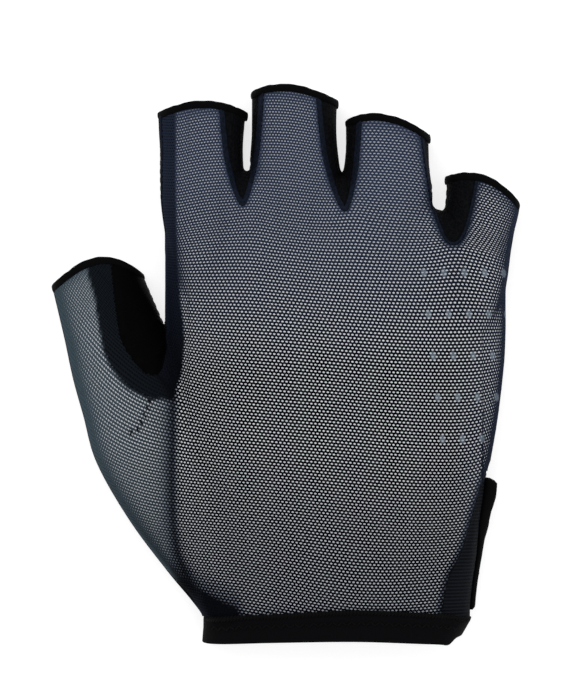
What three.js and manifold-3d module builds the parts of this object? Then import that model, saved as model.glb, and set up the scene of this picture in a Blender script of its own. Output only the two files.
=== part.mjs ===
// Fingerless cycling glove for the right hand, lying on its palm, seen with the back of the hand up.
// Millimetres. +Z is up from the surface, +Y points from the wrist hem to the fingertips,
// +X points to the little finger. The origin is under the middle of the glove, on the surface.
//
// Every fabric piece is cut from one thin-walled hand form: lofted palm, thumb and finger forms are
// joined, hollowed by the same forms drawn in by the wall, and parted along the seams.
import * as THREE from "three";
import { mergeVertices } from "three/addons/utils/BufferGeometryUtils.js";
import Module from "manifold-3d";

const wasm = await Module();
wasm.setup();

// Driving dimensions
const palmLength = 129.4; // wrist hem to the seam tips between the fingers
const palmWidth = 101; // across the knuckles
const palmThickness = 24;
const webDepth = 9.5; // how far the web stands past the seam tips
const webSweep = 11.5; // how far the web falls back, half a palm width from its peak
const webPeak = 20; // the web's foremost point lies this far to the thumb's side of the origin
const fingerLength = 32;
const fingerWidth = 24.4;
const fingerHeight = 17;
const thumbWidth = 26;
const fabricWall = 1.2;
const palmWall = 1.6; // leather on the flat underside
const seamGap = 0.3; // clearance between neighbouring pieces
const sideSeamHeight = 5.5; // the seam between the upper fabric and the palm leather
const rimLift = 0.7; // the rims' undersides lie this far above the surface
const bindingWidth = 2.4;
const bindingProud = 0.6; // the bindings stand this far out of the fabric
const hemWidth = 9.1;
const hemProud = 0.5;
const tabThickness = 1.8;
const tabLength = 39;
const tabHeight = 10.5;
const tabCorner = 4; // radius of the tab's front corners
const tabFoot = 1.4; // clearance under the tab

const palmExponent = 2.7; // squareness of the palm's cross-section
const fingerExponent = 2.25;
const palmSides = 32; // flats round the palm's cross-section
const fingerSides = 24;
const sunk = 1; // the forms reach this far below the surface and are cut flat there
const overrun = 9; // how far the forms run past the trimmed rims
const reach = 200; // half size of the cutting blocks
const halfPalm = palmWidth / 2;

// Palm cross-sections. along is a share of palmLength, left and right of half the palm width,
// top of palmThickness.
const palmRows = [
  { along: -0.07, left: -0.765, right: 0.765, top: 0.85 },
  { along: 0.035, left: -0.765, right: 0.765, top: 0.86 },
  { along: 0.1, left: -0.775, right: 0.768, top: 0.87 },
  { along: 0.18, left: -0.83, right: 0.795, top: 0.9 },
  { along: 0.29, left: -0.89, right: 0.84, top: 0.97 },
  { along: 0.4, left: -0.93, right: 0.89, top: 1 },
  { along: 0.53, left: -0.965, right: 0.945, top: 1 },
  { along: 0.68, left: -0.985, right: 0.975, top: 0.97 },
  { along: 0.84, left: -0.985, right: 0.985, top: 0.9 },
  { along: 0.93, left: -0.985, right: 0.985, top: 0.85 },
  { along: 1, left: -0.985, right: 0.99, top: 0.81 },
];

// The rounded front of the palm between the fingers, as angles of a quarter turn.
const webTurns = [0.25, 0.5, 0.72, 0.88, 0.97];

// Thumb cross-sections, the last one at its rim. across is a share of half the palm width, along of
// palmLength, width of thumbWidth, top of palmThickness and lift of the rise from the underside to
// the rim's; turn is in degrees.
const thumbRows = [
  { across: -0.52, along: 0.0, width: 0.5, top: 0.7, lift: 0, turn: 0 },
  { across: -0.62, along: 0.09, width: 0.77, top: 0.78, lift: 0, turn: 0 },
  { across: -0.72, along: 0.165, width: 1.0, top: 0.85, lift: 0, turn: 0 },
  { across: -0.86, along: 0.28, width: 1.31, top: 0.9, lift: 0, turn: 0 },
  { across: -1.03, along: 0.415, width: 1.39, top: 0.92, lift: 0, turn: 2 },
  { across: -1.13, along: 0.525, width: 1.3, top: 0.9, lift: 0, turn: 4 },
  { across: -1.22, along: 0.62, width: 1.2, top: 0.87, lift: 0, turn: 8 },
  { across: -1.3, along: 0.715, width: 1.09, top: 0.82, lift: 0, turn: 11 },
  { across: -1.393, along: 0.827, width: 1, top: 0.75, lift: 1, turn: 7.5 },
];
const thumbTip = { lean: 19, tilt: 7.5, bulge: 0.46, skew: 0.3 };

// Fingers. across is the rim's middle as a share of half the palm width, length of fingerLength
// and width of fingerWidth; lean and tilt are in degrees. The rim rises in its middle by bulge, a
// share of its half width, and skew moves its highest point to the right.
const fingers = [
  { name: "index", across: -0.772, length: 0.894, width: 1, lean: 0, tilt: 0, bulge: 0.21, skew: 0.1 },
  { name: "middle", across: -0.238, length: 1, width: 1, lean: 0, tilt: -6, bulge: 0.2, skew: -0.3 },
  { name: "ring", across: 0.3, length: 0.875, width: 0.98, lean: -1, tilt: -10, bulge: 0.25, skew: -0.25 },
  { name: "little", across: 0.863, length: 0.697, width: 0.9, lean: -6, tilt: -21, bulge: 0.31, skew: -0.2 },
];

// Finger cross-sections. along is a share of the finger's length from its root, width of its own
// width, top of fingerHeight and lift of the rise from the underside to the rim's.
const fingerRows = [
  { along: -1.0, width: 0.6, top: 1.05, lift: 0 },
  { along: -0.45, width: 0.8, top: 1.22, lift: 0 },
  { along: 0, width: 0.93, top: 1.2, lift: 0 },
  { along: 0.3, width: 0.95, top: 1.1, lift: 0.35 },
  { along: 0.65, width: 0.93, top: 1.02, lift: 0.75 },
  { along: 1, width: 1.0, top: 1, lift: 1 },
];

// The seams between two fingers. Each edge is where the back panel ends on a finger, as a share of
// that finger's half width. tip is the seam's lowest point, as a share of half the palm width, and
// back how far it stays ahead of the palm's front row, as a share of webDepth.
const notches = [
  { name: "index_middle", left: 0, right: 1, leftEdge: 0.5, rightEdge: -0.84, tip: -0.54, back: 0.02 },
  { name: "middle_ring", left: 1, right: 2, leftEdge: 0.6, rightEdge: -0.74, tip: 0.05, back: 0.05 },
  { name: "ring_little", left: 2, right: 3, leftEdge: 0.84, rightEdge: -0.28, tip: 0.68, back: 0.14 },
];
const notchShare = 0.42; // how steeply a finger seam leaves its tip

// The thumb seam, from the thumb's rim down round the web and up between thumb and index finger.
// across is a share of half the palm width, along of palmLength.
const thumbSeam = [
  { across: -1.315, along: 1.0 },
  { across: -1.297, along: 0.862 },
  { across: -1.27, along: 0.764 },
  { across: -1.23, along: 0.686 },
  { across: -1.143, along: 0.634 },
  { across: -1.063, along: 0.611 },
  { across: -1.012, along: 0.625 },
  { across: -0.994, along: 0.665 },
  { across: -0.995, along: 0.712 },
  { across: -1.014, along: 0.753 },
  { across: -1.05, along: 0.804 },
  { across: -1.09, along: 0.866 },
  { across: -1.15, along: 1.0 },
];

// The gore's seam on the back of the wrist, as shares of the same two
const goreSeam = [
  { across: 1.02, along: 0.44 },
  { across: 0.885, along: 0.392 },
  { across: 0.745, along: 0.221 },
  { across: 0.652, along: 0.141 },
  { across: 0.605, along: 0.03 },
];

// The hem band's two edges. across is a share of half the palm width, low and high of hemWidth.
const hemRows = [
  { across: -1.3, low: 0, high: 0.85 },
  { across: -0.79, low: 0, high: 0.91 },
  { across: -0.38, low: 0.11, high: 1.01 },
  { across: 0.13, low: 0.154, high: 1.15 },
  { across: 0.55, low: 0.05, high: 1.02 },
  { across: 0.68, low: 0, high: 0.93 },
  { across: 0.79, low: 0.25, high: 0.8 },
  { across: 1.3, low: 0.4, high: 0.65 },
];

const radians = THREE.MathUtils.degToRad;

// A closed three.js geometry as a solid that can be joined and cut.
function solid(geometry) {
  geometry.deleteAttribute("normal");
  geometry.deleteAttribute("uv");
  const merged = mergeVertices(geometry);
  const mesh = new wasm.Mesh({
    numProp: 3,
    vertProperties: merged.attributes.position.array,
    triVerts: merged.index.array,
  });
  return new wasm.Manifold(mesh);
}

// One closed ring of points across a form, in an upright plane turned about Z. It is widest at the
// height of the side seam.
function ring({ x, y, halfWidth, bottom, top, turn, exponent, sides }) {
  const points = [];
  for (let i = 0; i < sides; i++) {
    const angle = (2 * Math.PI * i) / sides;
    const across = Math.sign(Math.cos(angle)) * Math.abs(Math.cos(angle)) ** (2 / exponent);
    const up = Math.sign(Math.sin(angle)) * Math.abs(Math.sin(angle)) ** (2 / exponent);
    const halfHeight = up > 0 ? top - sideSeamHeight : sideSeamHeight - bottom;
    const offset = new THREE.Vector3(halfWidth * across, 0, halfHeight * up);
    offset.applyAxisAngle(new THREE.Vector3(0, 0, 1), radians(turn));
    points.push(new THREE.Vector3(x, y, sideSeamHeight).add(offset));
  }
  return points;
}

// A closed form through rings that all have the same number of points.
function loft(rings) {
  const count = rings[0].length;
  const middleOf = (points) =>
    points.reduce((sum, p) => sum.add(p), new THREE.Vector3()).divideScalar(count);
  const points = [...rings.flat(), middleOf(rings[0]), middleOf(rings.at(-1))];
  const index = [];
  const firstCap = rings.length * count;
  for (let i = 0; i < count; i++) {
    const next = (i + 1) % count;
    index.push(firstCap, i, next);
    for (let r = 0; r + 1 < rings.length; r++) {
      const [a, b] = [r * count + i, r * count + next];
      index.push(a, a + count, b, b, a + count, b + count);
    }
    const last = (rings.length - 1) * count;
    index.push(firstCap + 1, last + next, last + i);
  }
  const geometry = new THREE.BufferGeometry().setFromPoints(points);
  geometry.setIndex(index);
  return solid(geometry);
}

// Y of the line that the finger webs follow, measured from its peak.
const webLine = (x) => -webSweep * ((x + webPeak) / halfPalm) ** 2;

// The palm form, drawn in by inset. Its front is swept back along the web line.
function palmForm(inset) {
  const rows = palmRows.map((row) => ({ ...row, scale: 1, past: 0 }));
  const front = palmRows.at(-1);
  for (const turn of webTurns) {
    const angle = (turn * Math.PI) / 2;
    rows.push({ ...front, scale: Math.cos(angle), past: (webDepth - inset) * Math.sin(angle) });
  }
  return loft(
    rows.map(({ along, left, right, top, scale, past }) => {
      const points = ring({
        x: ((left + right) / 2) * halfPalm,
        y: along * palmLength + past,
        halfWidth: ((right - left) / 2) * halfPalm - inset,
        bottom: sideSeamHeight - (sideSeamHeight + sunk - inset) * scale,
        top: sideSeamHeight + (top * palmThickness - inset - sideSeamHeight) * scale,
        turn: 0,
        exponent: palmExponent,
        sides: palmSides,
      });
      const swept = THREE.MathUtils.smoothstep(along, 0.5, 1);
      for (const point of points) point.y += swept * webLine(point.x);
      return points;
    }),
  );
}

// Where a finger's or the thumb's rim lies, how wide it is and which way it faces.
function fingerRim(finger) {
  const x = finger.across * halfPalm;
  const y = palmLength + webLine(x) + finger.length * fingerLength;
  return { ...finger, x, y, halfWidth: (finger.width * fingerWidth) / 2 };
}
function thumbRim() {
  const { across, along } = thumbRows.at(-1);
  return { ...thumbTip, x: across * halfPalm, y: along * palmLength, halfWidth: thumbWidth / 2 };
}

function fingerForm(finger, inset) {
  const rim = fingerRim(finger);
  const lean = radians(rim.lean);
  const length = finger.length * fingerLength;
  const rows = fingerRows.map((row) => ({ ...row, past: (row.along - 1) * length }));
  rows.push({ ...rows.at(-1), past: overrun });
  return loft(
    rows.map(({ along, width, top, lift, past }) =>
      ring({
        x: rim.x - past * Math.sin(lean),
        y: rim.y + past * Math.cos(lean),
        halfWidth: width * rim.halfWidth - inset,
        bottom: lift * (rimLift + sunk) - sunk + inset,
        top: top * fingerHeight - inset,
        turn: rim.tilt * THREE.MathUtils.clamp(along, 0, 1),
        exponent: fingerExponent,
        sides: fingerSides,
      }),
    ),
  );
}

function thumbForm(inset) {
  const lean = radians(thumbTip.lean);
  const rows = thumbRows.map((row) => ({ ...row, past: 0 }));
  rows.push({ ...rows.at(-1), past: overrun });
  return loft(
    rows.map(({ across, along, width, top, lift, turn, past }) =>
      ring({
        x: across * halfPalm - past * Math.sin(lean),
        y: along * palmLength + past * Math.cos(lean),
        halfWidth: (width * thumbWidth) / 2 - inset,
        bottom: lift * (rimLift + sunk) - sunk + inset,
        top: top * palmThickness - inset,
        turn,
        exponent: fingerExponent,
        sides: fingerSides,
      }),
    ),
  );
}

// The five forms that end in a rim, by name, each drawn in by inset (or let out, if it is negative)
const stallForms = (inset) => [
  { name: "thumb", rim: thumbRim(), form: thumbForm(inset) },
  ...fingers.map((finger) => ({
    name: finger.name,
    rim: fingerRim(finger),
    form: fingerForm(finger, inset),
  })),
];

const joined = (forms) => forms.reduce((sum, form) => sum.add(form));

// A block between two heights that covers the glove.
function layer(low, high) {
  const box = new THREE.BoxGeometry(2 * reach, 2 * reach, high - low);
  return solid(box.translate(0, 0, (low + high) / 2));
}

// An outline in plan as an upright block.
function upright(points) {
  const shape = new THREE.Shape(points);
  const block = new THREE.ExtrudeGeometry(shape, { depth: reach, bevelEnabled: false });
  return solid(block.translate(0, 0, -reach / 2));
}

// A line in plan as an upright cut, one seam gap wide.
function seamCut(line) {
  const sides = [[], []];
  line.forEach((point, i) => {
    const from = line[Math.max(i - 1, 0)];
    const to = line[Math.min(i + 1, line.length - 1)];
    const normal = to.clone().sub(from).normalize().multiplyScalar(seamGap / 2);
    sides[0].push(new THREE.Vector2(point.x - normal.y, point.y + normal.x));
    sides[1].unshift(new THREE.Vector2(point.x + normal.y, point.y - normal.x));
  });
  return upright([...sides[0], ...sides[1]]);
}

// A smooth line in plan through table rows. across is a share of half the palm width, and the
// named column a share of length.
function planLine(rows, column, length, count) {
  const points = rows.map(
    (row) => new THREE.Vector2(row.across * halfPalm, row[column] * length),
  );
  return new THREE.SplineCurve(points).getPoints(count);
}

// What lies past a rim, from inset behind its edge. The rim is an arch with flat ends.
function pastRim({ x, y, halfWidth, tilt, bulge, skew }, inset) {
  const points = [new THREE.Vector2(-2 * halfWidth, -inset)];
  for (let i = 0; i <= 10; i++) {
    const across = i / 5 - 1;
    const rise = bulge * (1 - across ** 2) * (1 + skew * across);
    points.push(new THREE.Vector2(across * halfWidth, rise * halfWidth - inset));
  }
  points.push(new THREE.Vector2(2 * halfWidth, -inset));
  points.push(new THREE.Vector2(2 * halfWidth, 2 * overrun));
  points.push(new THREE.Vector2(-2 * halfWidth, 2 * overrun));
  for (const point of points) {
    point.rotateAround(new THREE.Vector2(), radians(tilt)).add(new THREE.Vector2(x, y));
  }
  return upright(points);
}

// The seam round the notch between two fingers, from one rim to the other.
function notchLine({ left, right, leftEdge, rightEdge, tip, back }) {
  const tipX = tip * halfPalm;
  const tipY = palmLength + webLine(tipX) + back * webDepth;
  const line = [];
  for (const [finger, edge, order] of [
    [fingers[left], leftEdge, [1.5, 1, 0.7, 0.45, 0.25, 0.12, 0.05, 0.015]],
    [fingers[right], rightEdge, [0, 0.015, 0.05, 0.12, 0.25, 0.45, 0.7, 1, 1.5]],
  ]) {
    const rim = fingerRim(finger);
    const edgeX = rim.x + edge * rim.halfWidth;
    for (const share of order) {
      const x = tipX + (edgeX - tipX) * share ** notchShare;
      line.push(new THREE.Vector2(x, tipY + (rim.y - tipY) * share));
    }
  }
  return line;
}

const moved = (point, x, y) => new THREE.Vector2(point.x + x, point.y + y);

// The block between a line in plan and the same line's ends moved by (x, y)
const beside = (line, x, y) =>
  upright([...line, moved(line.at(-1), x, y), moved(line[0], x, y)]);

// Regions in plan that the seams part the upper fabric into
const thumbLine = planLine(thumbSeam, "along", palmLength, 48);
const thumbRegion = upright(thumbLine);
const notchLines = notches.map(notchLine);
const goreLine = planLine(goreSeam, "along", palmLength, 16);
const goreRegion = beside(goreLine, palmWidth, 0);
const hemHigh = planLine(hemRows, "high", hemWidth, 24);
const hemLow = planLine(hemRows, "low", hemWidth, 24);

// The fabric shell with its seams and ends cut
const stalls = stallForms(0).map(({ form, rim }) =>
  form.subtract(pastRim(rim, bindingWidth + seamGap)),
);
const bodyForm = joined([palmForm(0), ...stalls]).intersect(layer(0, reach));
const cavity = joined([palmForm(fabricWall), ...stallForms(fabricWall).map(({ form }) => form)]);
const shell = bodyForm
  .subtract(cavity.intersect(layer(palmWall, reach)))
  .subtract(beside(hemHigh.map((point) => moved(point, 0, seamGap)), 0, -reach / 2));
const upper = shell.intersect(layer(sideSeamHeight + seamGap / 2, reach));
const upperParts = [thumbLine, goreLine, ...notchLines]
  .map(seamCut)
  .reduce((form, cut) => form.subtract(cut), upper);

const fabrics = {
  mesh: { color: "#3b4454", roughness: 0.8 },
  leather: { color: "#121214", roughness: 0.6 },
  knit: { color: "#101116", roughness: 0.85 },
  elastic: { color: "#1b2129", roughness: 0.8 },
};

// A named mesh of a form's main body, without the crumbs that a cut can leave beside a seam
function piece(name, fabric, form) {
  const [body] = form.decompose().sort((a, b) => b.volume() - a.volume());
  const { vertProperties, triVerts } = body.getMesh();
  const geometry = new THREE.BufferGeometry();
  geometry.setAttribute("position", new THREE.BufferAttribute(vertProperties, 3));
  geometry.setIndex(new THREE.BufferAttribute(triVerts, 1));
  geometry.computeVertexNormals();
  const material = new THREE.MeshStandardMaterial({ ...fabrics[fabric], metalness: 0 });
  const mesh = new THREE.Mesh(geometry, material);
  mesh.name = name;
  return mesh;
}

// The mesh back of the hand, thumb and fingers in one cut
function backPanel() {
  const panel = [thumbRegion, goreRegion, ...notchLines.map(upright)]
    .reduce((form, region) => form.subtract(region), upperParts);
  return piece("back_panel", "mesh", panel);
}

// The leather palm: a shallow tray with the undersides of the thumb and fingers
function palmPanel() {
  return piece("palm_panel", "leather", shell.intersect(layer(-sunk, sideSeamHeight - seamGap / 2)));
}

// The rest of the upper fabric
const thumbGusset = () => piece("thumb_gusset", "leather", upperParts.intersect(thumbRegion));
const wristGore = () => piece("wrist_gore", "elastic", upperParts.intersect(goreRegion));
const fingerWalls = () =>
  notches.map(({ name }, i) =>
    piece(`fourchette_${name}`, "knit", upperParts.intersect(upright(notchLines[i]))),
  );

// A binding round each opening, proud of the fabric on both sides
function bindings() {
  const holes = stallForms(fabricWall + bindingProud / 2);
  return stallForms(-bindingProud).map(({ name, rim, form }, i) => {
    const band = form.intersect(pastRim(rim, bindingWidth)).subtract(pastRim(rim, 0));
    return piece(`binding_${name}`, "knit", band.subtract(holes[i].form).intersect(layer(0, reach)));
  });
}

// The double hem band round the wrist
function cuffBand() {
  const [outer, inner] = [-hemProud, fabricWall + hemProud].map((inset) =>
    palmForm(inset).add(thumbForm(inset)),
  );
  const band = outer
    .intersect(layer(0, reach))
    .subtract(inner.intersect(layer(palmWall + hemProud, reach)))
    .intersect(beside(hemHigh, 0, -reach / 2))
    .subtract(beside(hemLow, 0, -reach / 2));
  return piece("cuff_band", "knit", band);
}

// The end of the wrist closure, wrapped up over the little-finger side just clear of the hem
function closureTab() {
  const start = hemWidth + seamGap;
  const cornerY = start + tabLength - tabCorner;
  const side = new THREE.Shape();
  side.moveTo(start, tabFoot);
  side.lineTo(cornerY, tabFoot);
  side.absarc(cornerY, tabFoot + tabCorner, tabCorner, -Math.PI / 2, 0, false);
  side.absarc(cornerY, tabFoot + tabHeight - tabCorner, tabCorner, 0, Math.PI / 2, false);
  side.lineTo(start, tabFoot + tabHeight);
  const outline = { depth: palmWidth, bevelEnabled: false, curveSegments: 6 };
  const block = new THREE.ExtrudeGeometry(side, outline);
  const axes = [0, 1, 2].map((axis) => new THREE.Vector3().setComponent(axis, 1));
  block.applyMatrix4(new THREE.Matrix4().makeBasis(axes[1], axes[2], axes[0]));
  const flap = palmForm(-seamGap - tabThickness).subtract(palmForm(-seamGap));
  return piece("closure_tab", "leather", flap.intersect(solid(block)));
}

const glove = new THREE.Group();
glove.add(backPanel(), palmPanel(), thumbGusset(), wristGore(), ...fingerWalls());
glove.add(...bindings(), cuffBand(), closureTab());

// The origin is put under the middle of the whole glove
const bounds = new THREE.Box3().setFromObject(glove);
const middle = bounds.getCenter(new THREE.Vector3());
glove.position.set(-middle.x, -middle.y, 0);

export default glove;
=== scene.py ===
import math

import bpy
import numpy as np
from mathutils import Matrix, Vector


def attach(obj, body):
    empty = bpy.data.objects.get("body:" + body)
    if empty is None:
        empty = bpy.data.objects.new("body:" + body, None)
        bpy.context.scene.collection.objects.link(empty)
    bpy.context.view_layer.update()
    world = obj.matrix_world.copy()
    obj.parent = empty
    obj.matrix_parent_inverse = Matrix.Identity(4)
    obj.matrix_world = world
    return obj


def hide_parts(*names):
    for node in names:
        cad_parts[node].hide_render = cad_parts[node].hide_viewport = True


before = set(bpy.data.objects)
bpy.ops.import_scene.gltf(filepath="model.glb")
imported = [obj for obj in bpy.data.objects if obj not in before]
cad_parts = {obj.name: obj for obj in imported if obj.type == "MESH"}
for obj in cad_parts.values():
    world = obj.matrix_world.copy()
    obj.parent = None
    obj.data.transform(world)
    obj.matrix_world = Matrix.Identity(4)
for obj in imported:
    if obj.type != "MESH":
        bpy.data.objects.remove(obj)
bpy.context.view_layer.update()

# --- The hand's shape -----------------------------------------------------------------------
# The glove is cut and sewn from flat cloth, and a hand's shape is what the cloth is stretched to.
# It is drawn here once, in millimetres from the drawing's zero at the wrist hem, as closed forms
# for palm, thumb and fingers, which are melted into one skin with soft fillets where they meet.
middle_of_glove = np.array([14.719, -81.919, 0.0])  # from the drawing's zero to the glove's middle
palm_length, palm_width, palm_thickness = 129.4, 101.0, 24.0
half_palm = palm_width / 2
web_depth, web_sweep, web_peak = 9.5, 11.5, 20.0
finger_length, finger_width, finger_height, thumb_width = 32.0, 24.4, 17.0, 26.0
side_seam_height, rim_lift, sunk, overrun = 5.5, 0.7, 1.0, 5.0
palm_exponent, finger_exponent = 2.7, 2.25
around = 96  # points round a cross-section

palm_rows = [  # along the palm, left, right, top
    (-0.07, -0.765, 0.765, 0.85), (0.035, -0.765, 0.765, 0.86), (0.1, -0.775, 0.768, 0.87),
    (0.18, -0.83, 0.795, 0.9), (0.29, -0.89, 0.84, 0.97), (0.4, -0.93, 0.89, 1.0),
    (0.53, -0.965, 0.945, 1.0), (0.68, -0.985, 0.975, 0.97), (0.84, -0.985, 0.985, 0.9),
    (0.93, -0.985, 0.985, 0.85), (1.0, -0.985, 0.99, 0.81),
]
thumb_rows = [  # across, along, width, top, lift, turn
    (-0.52, 0.0, 0.5, 0.7, 0, 0), (-0.62, 0.09, 0.77, 0.78, 0, 0), (-0.72, 0.165, 1.0, 0.85, 0, 0),
    (-0.86, 0.28, 1.31, 0.9, 0, 0), (-1.03, 0.415, 1.39, 0.92, 0, 2), (-1.13, 0.525, 1.3, 0.9, 0, 4),
    (-1.22, 0.62, 1.2, 0.87, 0, 8), (-1.3, 0.715, 1.09, 0.82, 0, 11), (-1.393, 0.827, 1.0, 0.75, 1, 7.5),
]
finger_rows = [  # along the finger, width, top, lift
    (-1.0, 0.6, 1.05, 0), (-0.45, 0.8, 1.22, 0), (0, 0.93, 1.2, 0),
    (0.3, 0.95, 1.1, 0.35), (0.65, 0.93, 1.02, 0.75), (1, 1.0, 1.0, 1),
]


fullness = {  # how far the cloth stands out at a finger's left and right, from its root to its rim
    "index": ((0, 0.6, 1.0, 1.3, 0.9), (0, 0, 0, 0, 0)), "middle": ((0, 1.2, 1.5, 0.9, 0.2), (0, 1.6, 1.3, 0.5, 0)),
    "ring": ((0, 1.8, 1.4, 0.4, 0), (0, 2.2, 2.4, 1.2, 0.2)), "little": ((0, 0.5, 0.5, 0, 0), (0, 0, 0.3, 0.6, 0.3)),
}


def web_line(x):
    return -web_sweep * ((x + web_peak) / half_palm) ** 2


stalls = {  # each opening's middle, half width, lean and tilt in degrees, and its rim's arch
    "thumb": dict(x=-1.393 * half_palm, y=0.827 * palm_length, half=thumb_width / 2, lean=19, tilt=7.5, bulge=0.46, skew=0.3, length=0),
}
for name, across, length, width, lean, tilt, bulge, skew in [
    ("index", -0.772, 0.894, 1.0, 0, 0, 0.21, 0.1), ("middle", -0.238, 1.0, 1.0, 0, -6, 0.2, -0.3),
    ("ring", 0.3, 0.875, 0.98, -1, -10, 0.25, -0.25), ("little", 0.863, 0.697, 0.9, -6, -21, 0.31, -0.2),
]:
    x, long = across * half_palm, length * finger_length
    stalls[name] = dict(
        x=x, y=palm_length + web_line(x) + long, half=width * finger_width / 2,
        lean=lean, tilt=tilt, bulge=bulge, skew=skew, length=long)


def through(rows, count):
    """A smooth line through table rows."""
    rows = np.array(rows, float)
    t = np.linspace(0, len(rows) - 1, count)
    i = np.minimum(t.astype(int), len(rows) - 2)
    w = (t - i)[:, None]
    a, b, c, d = rows[np.maximum(i - 1, 0)], rows[i], rows[i + 1], rows[np.minimum(i + 2, len(rows) - 1)]
    v, u = (c - a) / 2, (d - b) / 2
    return (2 * b - 2 * c + v + u) * w**3 + (3 * c - 3 * b - 2 * v - u) * w**2 + v * w + b


def cross_section(x, y, half, bottom, top, turn, exponent):
    angle = 2 * np.pi * np.arange(around) / around
    c, s = np.cos(angle), np.sin(angle)
    across = half * np.sign(c) * np.abs(c) ** (2 / exponent)
    up = np.sign(s) * np.abs(s) ** (2 / exponent)
    z = side_seam_height + np.where(up > 0, top - side_seam_height, side_seam_height - bottom) * up
    t = math.radians(turn)
    return np.stack([x + across * math.cos(t), y + across * math.sin(t), z], 1)


def palm_sections(inset=0.0):
    rows = [(a, l, r, t, 1.0, 0.0) for a, l, r, t in through(palm_rows, 45)]
    front = palm_rows[-1]
    for turn in np.linspace(0.12, 0.97, 9) * math.pi / 2:
        rows.append((*front, math.cos(turn), (web_depth - inset) * math.sin(turn)))
    sections = []
    for along, left, right, top, scale, past in rows:
        points = cross_section(
            (left + right) / 2 * half_palm, along * palm_length + past, (right - left) / 2 * half_palm - inset,
            side_seam_height - (side_seam_height + sunk - inset) * scale,
            side_seam_height + (top * palm_thickness - inset - side_seam_height) * scale, 0, palm_exponent)
        s = min(max((along - 0.5) / 0.5, 0), 1)
        points[:, 1] += s * s * (3 - 2 * s) * web_line(points[:, 0])
        sections.append(points)
    return sections


def stall_sections(name, inset=0.0):
    stall = stalls[name]
    lean = math.radians(stall["lean"])
    sections = []
    if name == "thumb":  # its arch is the highest, so it runs on twice as far past its rim
        rows = [(*row, 0.0) for row in through(thumb_rows, 49)] + [(*thumb_rows[-1], 2 * overrun)]
        for across, along, width, top, lift, turn, past in rows:
            sections.append(cross_section(
                across * half_palm - past * math.sin(lean), along * palm_length + past * math.cos(lean), width * thumb_width / 2 - inset,
                lift * (rim_lift + sunk) - sunk + inset, top * palm_thickness - inset, turn, finger_exponent))
        return sections
    rows = [(*row, (row[0] - 1) * stall["length"]) for row in through(finger_rows, 31)] + [(*finger_rows[-1], overrun)]
    for along, width, top, lift, past in rows:
        left, right = (np.interp(along, (-0.3, 0.1, 0.4, 0.75, 1), full) for full in fullness[name])
        sections.append(cross_section(
            stall["x"] - past * math.sin(lean) + (right - left) / 2, stall["y"] + past * math.cos(lean),
            width * stall["half"] + (right + left) / 2 - inset,
            lift * (rim_lift + sunk) - sunk + inset, top * finger_height - inset, stall["tilt"] * min(max(along, 0), 1), finger_exponent))
    return sections


def mesh_object(name, points, faces, material=None, smooth=True):
    """A mesh from points in the drawing's millimetres, put in its place in the glove."""
    mesh = bpy.data.meshes.new(name)
    mesh.from_pydata(((np.asarray(points)[:, :3] + middle_of_glove) * 0.001).tolist(), [], [list(map(int, f)) for f in faces])
    mesh.update()
    if smooth:
        mesh.shade_smooth()
    if material:
        mesh.materials.append(material)
    made = bpy.data.objects.new(name, mesh)
    bpy.context.scene.collection.objects.link(made)
    return made


points, faces = [], []
for sections in [palm_sections()] + [stall_sections(name) for name in stalls]:
    base, last = len(points), (len(sections) - 1) * around
    for section in sections:
        points.extend(section)
    points.extend([sections[0].mean(0), sections[-1].mean(0)])
    for i in range(around):
        j = (i + 1) % around
        for r in range(0, last, around):
            faces.append((base + r + i, base + r + around + i, base + r + around + j, base + r + j))
        faces.append((base + last + around, base + i, base + j))
        faces.append((base + last + around + 1, base + last + j, base + last + i))
hand = mesh_object("hand_shape", points, faces)
melt = hand.modifiers.new("melt", "REMESH")
melt.mode, melt.voxel_size = "VOXEL", 0.0008
soften = hand.modifiers.new("soften", "SMOOTH")
soften.factor, soften.iterations = 0.5, 9


def settled(made):
    """The object's mesh with its modifiers worked in, and the modifiers gone."""
    mesh = bpy.data.meshes.new_from_object(made.evaluated_get(bpy.context.evaluated_depsgraph_get()))
    made.modifiers.clear()
    made.data = mesh
    return made


def corners_of(mesh):
    points = np.empty(len(mesh.vertices) * 3)
    mesh.vertices.foreach_get("co", points)
    mesh.calc_loop_triangles()
    faces = np.empty(len(mesh.loop_triangles) * 3, int)
    mesh.loop_triangles.foreach_get("vertices", faces)
    return points.reshape(-1, 3) * 1000 - middle_of_glove, faces.reshape(-1, 3)


def facing(points, faces):
    """Each point's outward direction."""
    a, b, c = (points[faces[:, k], :3] for k in range(3))
    flat = np.cross(b - a, c - a)
    out = np.zeros((len(points), 3))
    for k in range(3):
        for axis in range(3):
            out[:, axis] += np.bincount(faces[:, k], flat[:, axis], len(points))
    return out / np.maximum(np.linalg.norm(out, axis=1), 1e-12)[:, None]


bpy.context.view_layer.update()
settled(hand)
skin, skin_faces = corners_of(hand.data)
bpy.data.objects.remove(hand)
skin[:, 2] = np.maximum(skin[:, 2], 0)


# The seams lie in plan over the hand's shape. Each is a line through a few points, and a point's
# distance from it says which piece of cloth it belongs to and how far the seam pulls it in.
def from_line(line, at):
    """How far points in plan lie from an open line."""
    nearest = np.full(len(at), 1e9)
    for p, q in zip(line[:-1], line[1:]):
        d = q - p
        t = np.clip(((at - p) @ d) / max(d @ d, 1e-12), 0, 1)
        nearest = np.minimum(nearest, np.hypot(*(at - p - t[:, None] * d).T))
    return nearest


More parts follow.
